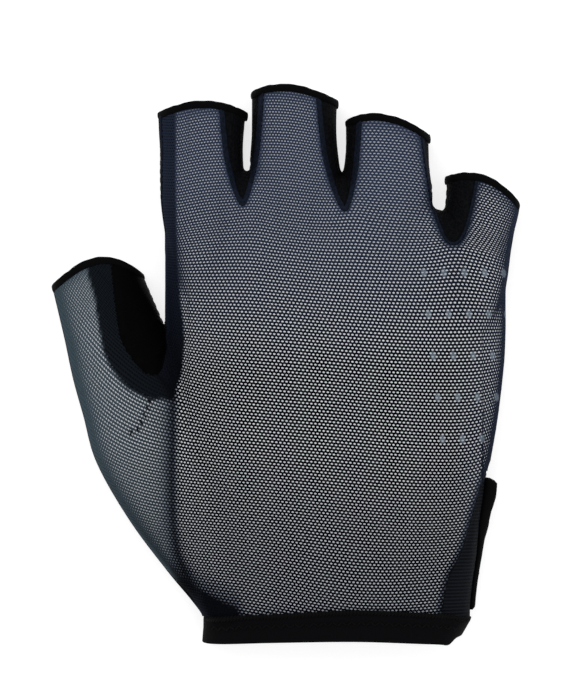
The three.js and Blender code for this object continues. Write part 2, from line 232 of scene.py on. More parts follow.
def inside(outline, at):
    """How far points in plan lie inside a closed outline. It is negative outside."""
    outline = np.concatenate([outline, outline[:1]])
    within = np.zeros(len(at), bool)
    for p, q in zip(outline[:-1], outline[1:]):
        if p[1] != q[1]:
            crosses = (p[1] > at[:, 1]) != (q[1] > at[:, 1])
            within ^= crosses & (at[:, 0] < (q[0] - p[0]) * (at[:, 1] - p[1]) / (q[1] - p[1]) + p[0])
    nearest = from_line(outline, at)
    return np.where(within, nearest, -nearest)


thumb_seam = through([
    (-1.315, 1), (-1.297, 0.862), (-1.27, 0.764), (-1.23, 0.686), (-1.143, 0.634), (-1.063, 0.611), (-1.012, 0.625),
    (-0.994, 0.665), (-0.995, 0.712), (-1.014, 0.753), (-1.05, 0.804), (-1.09, 0.866), (-1.15, 1),
], 97) * (half_palm, palm_length)
gore_seam = through([(1.02, 0.44), (0.885, 0.392), (0.745, 0.221), (0.652, 0.141), (0.605, 0.03)], 33) * (half_palm, palm_length)
gore_outline = np.concatenate([gore_seam, gore_seam[::-1] + (palm_width, 0)])
hem_width = 9.1
hem_rows = through([  # across, low edge, high edge
    (-1.3, 0, 0.85), (-0.79, 0, 0.91), (-0.38, 0.11, 1.01), (0.13, 0.154, 1.15),
    (0.55, 0.05, 1.02), (0.68, 0, 0.93), (0.79, 0.25, 0.8), (1.3, 0.4, 0.65),
], 49) * (half_palm, hem_width, hem_width)
notch_seams = {}
for name, left, right, left_edge, right_edge, tip, back in [
    ("index_middle", "index", "middle", 0.5, -0.84, -0.54, 0.02),
    ("middle_ring", "middle", "ring", 0.6, -0.74, 0.05, 0.05),
    ("ring_little", "ring", "little", 0.84, -0.28, 0.68, 0.14),
]:
    tip_x = tip * half_palm
    tip_y = palm_length + web_line(tip_x) + back * web_depth
    line = []
    rise = np.concatenate([np.linspace(1.5, 0.25, 11), [0.18, 0.12, 0.08, 0.05, 0.03, 0.015, 0.006, 0.002, 0]])
    for stall, edge, shares in [(stalls[left], left_edge, rise), (stalls[right], right_edge, rise[-2::-1])]:
        edge_x = stall["x"] + edge * stall["half"]
        pointed = np.interp(shares, [0, 0.1, 0.326, 0.49, 0.75, 1, 1.5], [0, 0.24, 0.58, 0.76, 0.9, 1, 1.2])
        widening = np.array(shares) ** 0.45 if name == "ring_little" else pointed
        line += [(tip_x + (edge_x - tip_x) * w, tip_y + (stall["y"] - tip_y) * s) for w, s in zip(widening, shares)]
    notch_seams[name] = np.array(line)


def past_rim(name, at, spare=None):
    """How far points in plan lie past an opening's arched rim."""
    stall = stalls[name]
    spare = spare or (3.0 if name == "thumb" else 1.4)
    t = math.radians(stall["tilt"])
    dx, dy = at[:, 0] - stall["x"], at[:, 1] - stall["y"]
    across, along = dx * math.cos(t) + dy * math.sin(t), dy * math.cos(t) - dx * math.sin(t)
    share = np.clip(across / stall["half"], -1, 1)
    rise = stall["bulge"] * stall["half"] * (1 - share**2) * (1 + stall["skew"] * share)
    return np.where((np.abs(across) > stall["half"] + spare) | (along < -20), -99, along - rise)


def above_hem(at, column):
    return at[:, 1] - np.interp(at[:, 0], hem_rows[:, 0], hem_rows[:, column])


plan = skin[:, :2]
skin_out = facing(skin, skin_faces)
high = skin[:, 2] > side_seam_height - 1
sink = np.zeros(len(skin))
for line in [thumb_seam, gore_seam, *notch_seams.values()]:
    sink = np.maximum(sink, 0.5 * np.exp(-((from_line(line, plan) / 0.9) ** 2)) * high)
sink = np.maximum(sink, 0.3 * np.exp(-(((skin[:, 2] - side_seam_height) / 0.8) ** 2)))
crease = through([(-47.5, 74), (-47.6, 62), (-47.8, 48), (-47.5, 36), (-46.8, 30), (-45.9, 25.5), (-43.6, 19.5), (-41.5, 14)], 40)
depth = np.interp(skin[:, 1], [6, 18, 40, 62, 76], [0.3, 1.0, 1.7, 1.4, 0])
sink += depth * np.exp(-((from_line(crease, plan) / 2.8) ** 2)) * (skin[:, 2] > side_seam_height + 2)
skin = skin + skin_out * (0.4 - sink)[:, None]  # let out by what the softening took in
skin[:, 0] -= 1.0 * np.clip((skin[:, 0] - 44) / 6, 0, 1) * np.exp(-(((skin[:, 1] - 116) / 8) ** 2))
skin[:, 0] += 0.8 * np.clip((skin[:, 0] - 33) / 6, 0, 1) * np.clip((36 - skin[:, 1]) / 10, 0, 1)
skin[:, 2] = np.maximum(skin[:, 2], 0)
skin_out = facing(skin, skin_faces)
skin = np.concatenate([skin, skin_out], 1)  # each row is a point and its outward direction


def trimmed(points, faces, keep):
    """The part of a skin where keep is above zero, cut clean along its edge."""
    within = keep > 0
    count = within[faces].sum(1)
    kept = [faces[count == 3]]
    edges, new, base = [], [], len(points)
    for wanted, odd_in in ((1, True), (2, False)):
        some = faces[count == wanted]
        odd = np.argmax(within[some] == odd_in, 1)
        a, b, c = (some[np.arange(len(some)), (odd + k) % 3] for k in range(3))
        edges += [np.stack([a, b], 1), np.stack([a, c], 1)]
        new.append((a, b, c, odd_in))
    lengths = [len(e) for e in edges]
    edges, where = np.unique(np.sort(np.concatenate(edges), 1), axis=0, return_inverse=True)
    where = np.split(where.ravel() + base, np.cumsum(lengths)[:-1])
    share = keep[edges[:, 0]] / (keep[edges[:, 0]] - keep[edges[:, 1]])
    cuts = points[edges[:, 0]] + share[:, None] * (points[edges[:, 1]] - points[edges[:, 0]])
    for k, (a, b, c, odd_in) in enumerate(new):
        ab, ac = where[2 * k], where[2 * k + 1]
        if odd_in:
            kept.append(np.stack([a, ab, ac], 1))
        else:
            kept += [np.stack([ab, b, c], 1), np.stack([ab, c, ac], 1)]
    points, faces = np.concatenate([points, cuts]), np.concatenate(kept)
    used, faces = np.unique(faces, return_inverse=True)
    points, faces = points[used], faces.reshape(-1, 3)
    a, b, c = (points[faces[:, k], :3] for k in range(3))
    return points, faces[np.linalg.norm(np.cross(b - a, c - a), axis=1) > 1e-7]


def cloth(points, faces, wanted):
    """A piece of the skin: wanted(plan, height) gives, one after the other, what is kept above zero."""
    for k in range(len(wanted(points[:2, :2], points[:2, 2]))):
        points, faces = trimmed(points, faces, wanted(points[:, :2], points[:, 2])[k])
    return points, faces


def outward(points):
    """The directions held beside a skin's points, each of length one."""
    return points[:, 3:6] / np.linalg.norm(points[:, 3:6], axis=1)[:, None]


def open_edges(faces, count):
    """The edges that only one face uses."""
    edges = np.concatenate([faces[:, [0, 1]], faces[:, [1, 2]], faces[:, [2, 0]]])
    key = np.sort(edges, 1) @ np.array([count, 1])
    _, first, uses = np.unique(key, return_index=True, return_counts=True)
    return edges[first[uses == 1]]


def walled(points, faces, outer, inner):
    """A closed sheet between two offsets of a piece of the skin."""
    out, count = outward(points), len(points)
    both = np.concatenate([points[:, :3] + out * np.reshape(outer, (-1, 1)), points[:, :3] + out * inner])
    both[:, 2] = np.maximum(both[:, 2], 0)
    rim = open_edges(faces, count)
    sides = np.stack([rim[:, 1], rim[:, 0], rim[:, 0] + count, rim[:, 1] + count], 1)
    return both, [*faces.tolist(), *(faces[:, ::-1] + count).tolist(), *sides.tolist()]


def before_rims(at, inset):
    return -np.max([past_rim(name, at) for name in stalls], 0) - inset


def seam_height(at):
    """Where the palm's edge lies: the side seam climbs onto the index finger's outer side."""
    return side_seam_height + 5.0 * np.clip((at[:, 1] - 114) / 20, 0, 1) * (at[:, 0] < -44)


# --- The back of the hand: liner and net ----------------------------------------------------
# The back is one cut of knitted mesh over hand, thumb and finger backs, with a thin pale liner
# behind it that shows as a dot in every hole. Its rows bend with the cloth's stretch: they climb
# to the thumb, arch under each finger and rise to the little finger's side.
def colour(code):
    """An sRGB hex colour as linear light."""
    parts = [int(code[k : k + 2], 16) / 255 for k in (1, 3, 5)]
    return (*[p / 12.92 if p <= 0.04045 else ((p + 0.055) / 1.055) ** 2.4 for p in parts], 1.0)


def add(tree, kind, links=None, **settings):
    """Adds a node with its settings and its sockets' values or links. A node as a value is its first output."""
    made = tree.nodes.new(kind)
    for name, value in settings.items():
        setattr(made, name, value)
    for name, value in (links or {}).items():
        if isinstance(value, bpy.types.Node):
            value = value.outputs[0]
        if isinstance(value, bpy.types.NodeSocket):
            tree.links.new(value, made.inputs[name])
        else:
            made.inputs[name].default_value = value
    return made


def material(name):
    made = bpy.data.materials.new(name)
    made.use_nodes = True
    made.node_tree.nodes.clear()
    return made, made.node_tree


def finished(tree, surface):
    """Ends a material with a dull or glossy surface."""
    shader = add(tree, "ShaderNodeBsdfPrincipled", surface)
    add(tree, "ShaderNodeOutputMaterial", {"Surface": shader.outputs["BSDF"]})


def woven(name, kind, pattern, strength, depth, shades, roughness, **settings):
    """A dull cloth whose fine pattern gives its relief and, where it has two shades, its colour."""
    made, tree = material(name)
    where = add(tree, "ShaderNodeTexCoord").outputs["Object"]
    texture = add(tree, kind, {"Vector": where, **pattern}, **settings)
    height = texture.outputs["Distance" if kind == "ShaderNodeTexVoronoi" else "Fac"]
    bump = add(tree, "ShaderNodeBump", {"Height": height, "Strength": strength, "Distance": depth})
    base = colour(shades[0])
    if len(shades) == 2:
        tone = add(tree, "ShaderNodeValToRGB", {"Fac": height})
        for element, shade in zip(tone.color_ramp.elements, shades):
            element.color = colour(shade)
        base = tone.outputs["Color"]
    finished(tree, {"Base Color": base, "Roughness": roughness, "Specular IOR Level": 0.05, "Normal": bump.outputs["Normal"]})
    return made


def node_group(name, inputs, output):
    """A Geometry Nodes tree, its named inputs, and the identifiers that set them from outside."""
    tree, keys = bpy.data.node_groups.new(name, "GeometryNodeTree"), {}
    for given, kind in inputs.items():
        socket = tree.interface.new_socket(name=given, in_out="INPUT", socket_type="NodeSocket" + kind)
        keys[given] = socket.identifier
    tree.interface.new_socket(name=output, in_out="OUTPUT", socket_type="NodeSocketGeometry")
    return tree, add(tree, "NodeGroupInput").outputs, keys


def put_through(made, tree, keys, values):
    """Puts an object through a tree and leaves it as a plain, smooth mesh."""
    passed = made.modifiers.new(tree.name, "NODES")
    passed.node_group = tree
    for name, value in values.items():
        passed[keys[name]] = value
    settled(made)
    made.data.shade_smooth()


def back_region(at, z):
    return [z - seam_height(at) - 0.05, -inside(thumb_seam, at), -inside(gore_outline, at),
            -np.max([inside(line, at) for line in notch_seams.values()], 0), before_rims(at, 0.7), above_hem(at, 2) + 0.8]


back, back_faces = cloth(skin, skin_faces, back_region)

# Places read off the photo are in its pixels, from the drawing's zero
zero_px, mm_per_px = (335.5, 642), 0.295
fall_x = (np.array([75, 115, 155, 185, 215, 245, 265, 305, 345, 365, 405, 445, 465, 490]) - zero_px[0]) * mm_per_px
fall_y = (zero_px[1] - np.array([160, 220, 250, 280, 340, 370, 400, 460, 520, 580])) * mm_per_px
row_fall = np.array([  # how steeply the net's rows fall to the right, in degrees, from the tips down
    [45, 45, 20, -14, -5, 0, 1, 10, -1, 2, 6, 10, 16, 18],
    [45, 45, 20, -11, -8, -6, 13, 5, -5, 9, 3, 4, 14, 16],
    [45, 45, 22, -5, -5, 2, 9, 6, 0, 4, 1, -12, 12, 17],
    [46, 48, 28, 2, -1, 2, 7, 6, 2, 2, 1, -6, 6, 12],
    [52, 42, 36, 8, 6, 4, 4, 6, 5, 5, 3, 0, -2, -5],
    [53, 41, 35, 15, 9, 6, 5, 6, 6, 6, 3, 0, -2, -10],
    [50, 37, 21, 17, 10, 6, 6, 5, 6, 6, 4, 1, -4, -16],
    [42, 25, 13, 9, 8, 5, 6, 6, 6, 7, 5, 1, -6, -23],
    [38, 20, 11, 5, 7, 6, 6, 8, 7, 6, 4, -3, -6, -16],
    [34, 18, 11, 6, 8, 9, 10, 12, 8, 3, -3, -4, -6, -10],
], float)


def fall_at(x, y):
    i = np.clip(np.searchsorted(fall_x, x) - 1, 0, len(fall_x) - 2)
    j = np.clip(np.searchsorted(-fall_y, -y) - 1, 0, len(fall_y) - 2)
    s = np.clip((x - fall_x[i]) / (fall_x[i + 1] - fall_x[i]), 0, 1)
    t = np.clip((y - fall_y[j]) / (fall_y[j + 1] - fall_y[j]), 0, 1)
    top = row_fall[j, i] * (1 - s) + row_fall[j, i + 1] * s
    low = row_fall[j + 1, i] * (1 - s) + row_fall[j + 1, i + 1] * s
    return np.radians(top * (1 - t) + low * t)


# Each point follows its row to a line up the middle of the hand. The height where it arrives is
# its row, and the way that it went is its place along the row.
steps, home = 90, -20.0
x, y, went = back[:, 0].copy(), back[:, 1].copy(), np.zeros(len(back))
stride = (home - x) / steps
for _ in range(steps):
    fall = fall_at(x, y)
    y -= np.tan(fall) * stride
    x += stride
    left_of = np.clip((-25 - x) / 30, 0, 1)
    on_fingers = np.clip((y - 95) / 35, 0, 1) * np.clip((5 - x) / 10, 0, 1)
    went += stride / np.cos(fall) * (1 + 0.33 * np.maximum(left_of, on_fingers))
drop = np.clip((20 - back[:, 2]) / 14.5, 0, 1)
outer_side = np.where(back[:, 0] > 43, 1.0, np.where((back[:, 0] < -43) | (back[:, 1] < 60) & (back[:, 0] < -30), -1.0, 0.0))
along_row = home - went + outer_side * 0.57 * 14.5 * drop**1.6
every = np.arange(-20.0, 190.0)
spacing = np.interp(every, [18, 36, 54, 71, 89, 116, 124, 133, 142], [0.847, 0.855, 0.906, 0.944, 0.965, 0.973, 0.885, 0.855, 0.84])
row_height = np.interp(y, every, np.cumsum(0.96 / spacing) - 20)

slope = np.clip(back[:, 5], 0, 1)
x, y = back[:, 0], back[:, 1]
seam_near = np.min([from_line(line, back[:, :2]) for line in (gore_seam, *notch_seams.values())], 0)
rim_near = before_rims(back[:, :2], 2.4)
ramp = lambda value, low, high: np.clip((value - low) / (high - low), 0, 1)
# A second layer backs the net round the thumb's crotch and up the index finger, and closes its
# holes: this is that layer's edge.
double_edge = (np.array([
    (40, 240), (89, 262), (90, 275), (96.7, 296.7), (102, 331), (106, 352), (111, 364), (121, 378.3), (130, 387.8),
    (144.6, 395.5), (153, 399), (164, 398), (175, 399.5), (177, 389.7), (180, 379.5), (182.4, 368), (183.8, 352.8),
    (184.6, 340), (183.5, 322), (181, 305), (178, 275), (177, 240), (176.5, 180), (176, 60), (40, 60),
]) - zero_px) * (mm_per_px, -mm_per_px)
single = ramp(-inside(double_edge, back[:, :2]), -0.2, 0.35)
# How pale the liner shows, with painted shade where it turns away and in the crease, how far the holes are open, and
# the yarn's tone
# with painted sheen: a half is black, one is the fingers' navy and nought the thumb's slate.
# Painted shade: the liner darkens to slate where the cloth turns away from above. It is also darker near the seams,
# where the seam allowance lies behind, and near the rims.
facing_up_lit = ramp(slope, np.where(x < 0, 0.15, -0.1), np.where(x < 0, 0.75, 0.25))
pale_and_shade = (facing_up_lit ** 1.3 * 0.9 + 0.1) * (ramp(seam_near, 0.6, 2.4) * 0.85 + 0.15) * (ramp(rim_near, 0.0, 3.0) * 0.45 + 0.55)
pale_and_shade *= 1 - 0.3 * ramp(y, 90, 132) * ramp(-x, -45, -20)
pale_and_shade *= 1 - 0.12 * ramp(-x, 44, 60) * ramp(y, -20, 60)
pale_and_shade *= 1 - 0.3 * ramp(-y, -60, -10)
# Painted shadow along the crease at the thumb's side: the liner dims in a band, sharp on the crease's right and fading
# over a few millimetres to its left.
side_of_crease = np.where(x > np.interp(y, crease[::-1, 1], crease[::-1, 0]), 1, -1)
crease_off = from_line(crease, back[:, :2]) * side_of_crease
along_crease = ramp(y, 10, 16) * ramp(-y, -82, -74)
crease_shadow = np.exp(-np.where(crease_off > 0, (crease_off / 1.2) ** 2, np.abs(crease_off) / 2.8))
pale_and_shade *= 1 - 0.92 * crease_shadow * along_crease
# At the lower left, below a fold line, the liner goes dark and the yarn black. Above the line, over 6 mm, painted shade
# darkens the liner towards the fold.
below_corner = np.interp(x, [-45, -36, -29, -26], [19.5, 15, 12, 6]) - y
corner = ramp(below_corner, 0, 1.2)
pale_and_shade *= (1 - corner) * single * (1 - 0.5 * ramp(below_corner, -6, 0))
# The yarn's painted sheen: navy on the fingers, towards the little finger's side and where the cloth turns away from
# above, and slate on the thumb's side. It stays black where the cloth faces up.
above_crotch = ramp(y, 70, 80)
left_side = ramp(-x, 40 + 12 * above_crotch, 49 + 5 * above_crotch) * ramp(-y, -116, -113)
turned_away_sheen = 1 - ramp(slope, np.where(x < 0, 0.2, -0.1), np.where(x < 0, 0.6, 0.3))
veil = np.maximum.reduce([
    ramp(y, 80, 138) * (1 - 0.5 * ramp(x, 20, 40)),
    0.25 * left_side + 0.75 * ramp(-x, 46, 72),
    0.7 * ramp(x, 34, 54),
    0.9 * turned_away_sheen,
])
veil *= single + (1 - single) * (0.5 - 0.38 * left_side)
veil *= 1 - 0.75 * corner
# Painted shade: the sheen fades in the crease.
veil *= 1 - 0.8 * np.exp(-((crease_off / 1.9) ** 2)) * along_crease
veil = 0.5 + np.where(left_side > 0, 0.5 - left_side, 0.5) * veil
on_thumb = ramp(-x, 46, 60)
on_fingers_or_thumb = np.maximum(ramp(y, 90, 132), on_thumb)
opened = np.stack([1 + 0.3 * on_thumb, 1 - 0.15 * on_fingers_or_thumb, np.ones(len(x))], 1)  # along the row, across it
opened *= (0.9 + 0.1 * single)[:, None]

liner = mesh_object("liner", *walled(back, back_faces, -0.25, -0.6))
liner.data.attributes.new("pale_and_shade", "FLOAT", "POINT").data.foreach_set("value", np.tile(pale_and_shade, 2))
under = mesh_object("under_the_net", back[:, :3] - 0.25 * outward(back), back_faces)
under.data.attributes.new("veil", "FLOAT", "POINT").data.foreach_set("value", veil)
under.data.attributes.new("opened", "FLOAT_VECTOR", "POINT").data.foreach_set("vector", opened.ravel())
pattern_size = 240.0  # the square of cloth, in millimetres, that the whole pattern map stands for
loop_points = np.empty(len(under.data.loops), int)
under.data.loops.foreach_get("vertex_index", loop_points)
place = np.stack([along_row, row_height], 1)[loop_points] / pattern_size + (0.5, 0.1)
under.data.uv_layers.new(name="cut").data.foreach_set("uv", place.ravel())

# Polyester liner: a fine pale knit without gloss, with painted shade that turns it slate where it turns away and dark
# in the crease, and navy at the seams.
liner_finish, tree = material("liner, brushed polyester")
shade = add(tree, "ShaderNodeAttribute", attribute_name="pale_and_shade")
grade = add(tree, "ShaderNodeValToRGB", {"Fac": shade.outputs["Fac"]})
ramp_stops = grade.color_ramp.elements
ramp_stops[0].position, ramp_stops[0].color = 0.0, colour("#080a10")
ramp_stops[1].position, ramp_stops[1].color = 1.0, colour("#d3d6da")
stop = ramp_stops.new(0.4)
stop.color = colour("#737a88")


def printed(tree, ground, ink, strength):
    """A grid of soft ink dots over a ground colour, five across and five down, on the little finger's side."""
    place = add(tree, "ShaderNodeTexCoord").outputs["Object"]
    counts, offs = [], []
    for direction, start in [((1 / 0.0059, 0.11 / 0.0059, 0), -6.82), ((0, -1 / 0.0121, 0), 2.71)]:
        along = add(tree, "ShaderNodeVectorMath", {0: place, 1: direction}, operation="DOT_PRODUCT").outputs["Value"]
        counts.append(add(tree, "ShaderNodeMath", {0: along, 1: start}, operation="ADD"))
        share = add(tree, "ShaderNodeMath", {0: counts[-1]}, operation="FRACT")
        offs.append(add(tree, "ShaderNodeMath", {0: share, 1: 0.5}, operation="SUBTRACT"))
    stretched = add(tree, "ShaderNodeMath", {0: offs[1], 1: 1.35}, operation="MULTIPLY")
    off = add(tree, "ShaderNodeCombineXYZ", {"X": offs[0], "Y": stretched})
    away = add(tree, "ShaderNodeVectorMath", {0: off}, operation="LENGTH").outputs["Value"]
    fade = {"Value": away, "From Min": 0.1, "From Max": 0.17, "To Min": strength, "To Max": 0.0}
    mask = add(tree, "ShaderNodeMapRange", fade)
    for n in counts:
        within = add(tree, "ShaderNodeMath", {0: n, 1: 2.5, 2: 2.5}, operation="COMPARE")
        mask = add(tree, "ShaderNodeMath", {0: mask, 1: within}, operation="MULTIPLY")
    mixed = add(tree, "ShaderNodeMix", {"Factor": mask, 6: ground, 7: colour(ink)}, data_type="RGBA")
    return mixed.outputs[2]


base = printed(tree, grade.outputs["Color"], "#8d99a5", 0.5)
finished(tree, {"Base Color": base, "Roughness": 0.9, "Specular IOR Level": 0.05})
liner.data.materials.append(liner_finish)
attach(liner, "root")

# Polyester yarn: dull navy black, with a soft painted slate sheen where it turns away from the eye, and painted shade
# in the crease.
yarn, tree = material("mesh yarn, warp-knitted polyester")
shade = add(tree, "ShaderNodeAttribute", attribute_name="veil")
grade = add(tree, "ShaderNodeValToRGB", {"Fac": shade.outputs["Fac"]})
grade.color_ramp.elements[0].color = colour("#3f4d55")
grade.color_ramp.elements[1].color = colour("#2b3448")
grade.color_ramp.elements.new(0.5).color = colour("#020308")
base = printed(tree, grade.outputs["Color"], "#76838f", 0.6)
finished(tree, {"Base Color": base, "Roughness": 0.8, "Specular IOR Level": 0.06})

# One hole of the net: a six-sided ring that falls from the yarn's ridge, shared with its
# neighbours, to the edge of the hole.
cell_width, row_spacing = 1.2, 0.96
hole_share = (0.6, 0.43)  # of the cell's width and of its height
shoulder = (row_spacing**2 - cell_width**2 / 4) / (2 * row_spacing)
apex = (row_spacing**2 + cell_width**2 / 4) / (2 * row_spacing)
edge_x = 0.5 * cell_width
hexagon = np.array([(0, apex), (-edge_x, shoulder), (-edge_x, -shoulder), (0, -apex), (edge_x, -shoulder), (edge_x, shoulder)])
ring_points = np.concatenate([np.c_[hexagon, np.ones(6)], np.c_[hexagon * hole_share, np.zeros(6)]])
hole = bpy.data.meshes.new("net_hole")
hole_faces = [(k, (k + 1) % 6, 6 + (k + 1) % 6, 6 + k) for k in range(6)]
hole.from_pydata((ring_points * (1 / pattern_size, 1 / pattern_size, 1)).tolist(), [], hole_faces)
hole_object = bpy.data.objects.new("net_hole", hole)

tree, given, sockets = node_group("net over a cloth", {
    "Cloth": "Geometry", "Hole": "Object", "From": "Float", "To": "Float", "Low": "Float", "High": "Float",
    "Cell width": "Float", "Row spacing": "Float", "Yarn height": "Float", "Hole depth": "Float", "Yarn": "Material",
}, "Net")

# A flat lattice, each second row shifted by half a cell
wide = add(tree, "ShaderNodeMath", {0: given["To"], 1: given["From"]}, operation="SUBTRACT")
columns = add(tree, "ShaderNodeMath", {0: wide, 1: given["Cell width"]}, operation="DIVIDE")
tall = add(tree, "ShaderNodeMath", {0: given["High"], 1: given["Low"]}, operation="SUBTRACT")
rows = add(tree, "ShaderNodeMath", {0: tall, 1: given["Row spacing"]}, operation="DIVIDE")
grid = add(tree, "GeometryNodeMeshGrid", {"Size X": 1.0, "Size Y": 1.0, "Vertices X": columns, "Vertices Y": rows})
number = add(tree, "GeometryNodeInputIndex")
whole_rows = add(tree, "ShaderNodeMath", {0: rows}, operation="FLOOR")
column = add(tree, "ShaderNodeMath", {0: number, 1: whole_rows}, operation="DIVIDE")
column = add(tree, "ShaderNodeMath", {0: column}, operation="FLOOR")
row = add(tree, "ShaderNodeMath", {0: number, 1: whole_rows}, operation="FLOORED_MODULO")
odd = add(tree, "ShaderNodeMath", {0: row, 1: 2.0}, operation="FLOORED_MODULO")
half_step = add(tree, "ShaderNodeMath", {0: odd, 1: 0.5}, operation="MULTIPLY")
stepped = add(tree, "ShaderNodeMath", {0: column, 1: half_step}, operation="ADD")
right = add(tree, "ShaderNodeMath", {0: stepped, 1: given["Cell width"], 2: given["From"]}, operation="MULTIPLY_ADD")
up = add(tree, "ShaderNodeMath", {0: row, 1: given["Row spacing"], 2: given["Low"]}, operation="MULTIPLY_ADD")
spot = add(tree, "ShaderNodeCombineXYZ", {"X": right, "Y": up})
lattice = add(tree, "GeometryNodeSetPosition", {"Geometry": grid.outputs["Mesh"], "Position": spot})
here = add(tree, "GeometryNodeInputPosition")
lattice = add(tree, "GeometryNodeStoreNamedAttribute", {"Geometry": lattice, "Name": "centre", "Value": here},
              data_type="FLOAT_VECTOR", domain="POINT")

# A hole on each point, drawn wider or narrower as the cloth there says
one = add(tree, "GeometryNodeObjectInfo", {"Object": given["Hole"]}).outputs["Geometry"]
holes = add(tree, "GeometryNodeInstanceOnPoints", {"Points": lattice, "Instance": one})
holes = add(tree, "GeometryNodeRealizeInstances", {"Geometry": holes})
flat = add(tree, "GeometryNodeInputPosition")
ridge = add(tree, "ShaderNodeSeparateXYZ", {0: flat}).outputs["Z"]
laid = add(tree, "GeometryNodeStoreNamedAttribute", {"Geometry": holes, "Name": "ridge", "Value": ridge},
           data_type="FLOAT", domain="POINT")
known = {}
for name, kind in [
    ("cut", "FLOAT_VECTOR"), ("centre", "FLOAT_VECTOR"), ("opened", "FLOAT_VECTOR"),
    ("ridge", "FLOAT"), ("veil", "FLOAT"), ("on", "FLOAT"),
]:
    known[name] = add(tree, "GeometryNodeInputNamedAttribute", {"Name": name}, data_type=kind)


def from_cloth(value, at, kind):
    """What the cloth holds at a place on its pattern."""
    asked = {"Mesh": given["Cloth"], "Value": value, "UV Map": known["cut"], "Sample UV": at}
    return add(tree, "GeometryNodeSampleUVSurface", asked, data_type=kind).outputs


openness = from_cloth(known["opened"], known["centre"], "FLOAT_VECTOR")[0]
reach = add(tree, "ShaderNodeMix", {0: known["ridge"], 4: openness, 5: (1, 1, 1)}, data_type="VECTOR").outputs[1]
from_centre = add(tree, "ShaderNodeVectorMath", {0: flat, 1: known["centre"]}, operation="SUBTRACT")
flat = add(tree, "ShaderNodeVectorMath", {0: from_centre, 1: reach, 2: known["centre"]}, operation="MULTIPLY_ADD")

# The flat net laid over the cloth, the yarn high and the hole's edge low, without what falls off it
place = from_cloth(add(tree, "GeometryNodeInputPosition"), flat, "FLOAT_VECTOR")
out = from_cloth(add(tree, "GeometryNodeInputNormal"), flat, "FLOAT_VECTOR")[0]
sheen_on_net = from_cloth(known["veil"], flat, "FLOAT")[0]
for name, value in [("veil", sheen_on_net), ("on", place["Is Valid"])]:
    laid = add(tree, "GeometryNodeStoreNamedAttribute", {"Geometry": laid, "Name": name, "Value": value},
               data_type="FLOAT", domain="POINT")
heights = {"Value": known["ridge"], "To Min": given["Hole depth"], "To Max": given["Yarn height"]}
lift = add(tree, "ShaderNodeMapRange", heights)
raised = add(tree, "ShaderNodeVectorMath", {0: out, "Scale": lift}, operation="SCALE")
there = add(tree, "ShaderNodeVectorMath", {0: place[0], 1: raised}, operation="ADD")
laid = add(tree, "GeometryNodeSetPosition", {"Geometry": laid, "Position": there})
off_it = add(tree, "FunctionNodeCompare", {"A": known["on"], "B": 0.999}, data_type="FLOAT", operation="LESS_THAN")
kept = add(tree, "GeometryNodeDeleteGeometry", {"Geometry": laid, "Selection": off_it}, domain="POINT")
joined = add(tree, "GeometryNodeMergeByDistance", {"Geometry": kept, "Distance": 0.00001})
named = add(tree, "GeometryNodeSetMaterial", {"Geometry": joined, "Material": given["Yarn"]})
add(tree, "NodeGroupOutput", {"Net": add(tree, "GeometryNodeRealizeInstances", {"Geometry": named})})

for name, start, end, low, high in [
    ("net_thumb", -140, -52, -24, 100), ("net_hand", -52, 80, -24, 100), ("net_fingers", -140, 80, 100, 200),
]:
    net = bpy.data.objects.new(name, under.data.copy())
    bpy.context.scene.collection.objects.link(net)
    # Each part of the net starts on a whole cell, and takes the cells that the last one left
    start, end = (math.floor(edge / cell_width) * cell_width / pattern_size + 0.5 for edge in (start, end))
    low, high = (math.floor(edge / row_spacing / 2) * 2 * row_spacing / pattern_size + 0.1 for edge in (low, high))
    put_through(net, tree, sockets, {
        "Hole": hole_object, "From": start, "To": end + 1e-5, "Low": low, "High": high + 1e-5,
        "Cell width": cell_width / pattern_size, "Row spacing": row_spacing / pattern_size,
        "Yarn height": 0.00035, "Hole depth": 0.00005, "Yarn": yarn,
    })
    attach(net, "root")
    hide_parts("back_panel")
bpy.data.objects.remove(hole_object)
bpy.data.objects.remove(under)

# The mesh's raw edge is turned under along the walls between the fingers and along the side seam,
# and shows there as a plain navy margin.
# Dark navy and closed, where the mesh beside it is open
turned = woven(
    "mesh edge, folded double", "ShaderNodeTexVoronoi", {"Scale": 1100.0},  # stitches 0.9 mm apart
    0.5, 0.0002, ("#0a0e15", "#171d2b"), 0.85)
margins = {}
for name, width in [("index_middle", 1.15), ("middle_ring", 1.15), ("ring_little", 0.6)]:
    margins[name] = lambda at, z, line=notch_seams[name], width=width: [
        z - side_seam_height - 0.05, width - from_line(line, at), 0.1 - inside(line, at), before_rims(at, 0.7)]
margins["side"] = lambda at, z: [seam_height(at) + 0.9 - z, *back_region(at, z)]
for name, wanted in margins.items():
    margin = mesh_object("turned_edge_" + name, *walled(*cloth(skin, skin_faces, wanted), 0.36, -0.2), turned)
    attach(margin, "root")
    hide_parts("back_panel")

